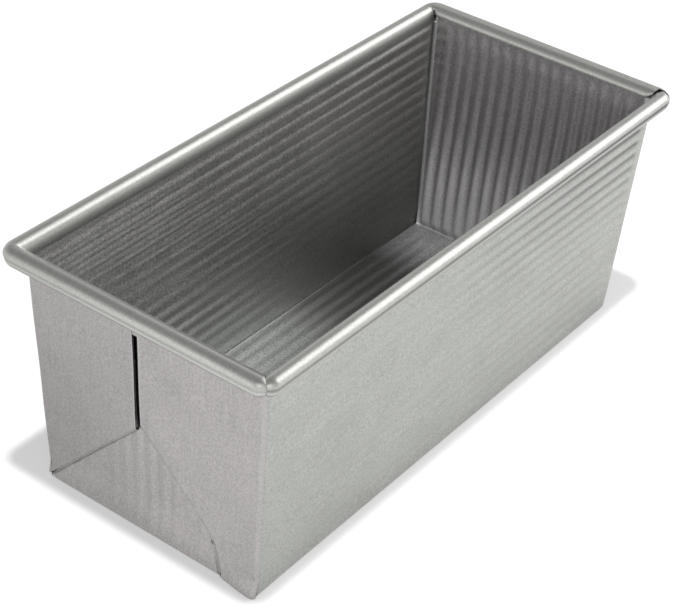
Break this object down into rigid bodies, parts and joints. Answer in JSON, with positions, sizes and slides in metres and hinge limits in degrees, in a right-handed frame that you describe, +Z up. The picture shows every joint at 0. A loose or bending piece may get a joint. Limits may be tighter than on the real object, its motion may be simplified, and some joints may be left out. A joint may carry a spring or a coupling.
{
  "type": "pullman loaf pan",
  "caption": "Tall straight sided bread pan folded from ribbed coated steel sheet, with envelope folded end flaps and a rim rolled over a wire, for baking square loaves.",
  "frame": {"origin": "on the table, under the middle of the base", "axes": "+X along the pan from the front end, which has the crushed flap, to the rear end; +Y to the left side; +Z up"},
  "size_m": [0.2588, 0.1202, 0.1041],
  "materials": {
    "sheet": "aluminised coating with a fine grain and a soft satin shine",
    "rim": "the same coating, burnished by rolling",
    "wire": "plain drawn wire"
  },
  "bodies": {
    "root": {"base_panel": "sheet", "left_side_panel": "sheet", "right_side_panel": "sheet", "front_end_panel": "sheet", "rear_end_panel": "sheet", "front_left_inner_leaf": "sheet", "front_left_outer_leaf": "sheet", "front_right_inner_leaf": "sheet", "front_right_outer_leaf": "sheet", "rear_left_inner_leaf": "sheet", "rear_left_outer_leaf": "sheet", "rear_right_inner_leaf": "sheet", "rear_right_outer_leaf": "sheet", "left_rim_roll": "rim", "right_rim_roll": "rim", "front_rim_roll": "rim", "rear_rim_roll": "rim", "rim_wire": "wire"}
  },
  "joints": []
}
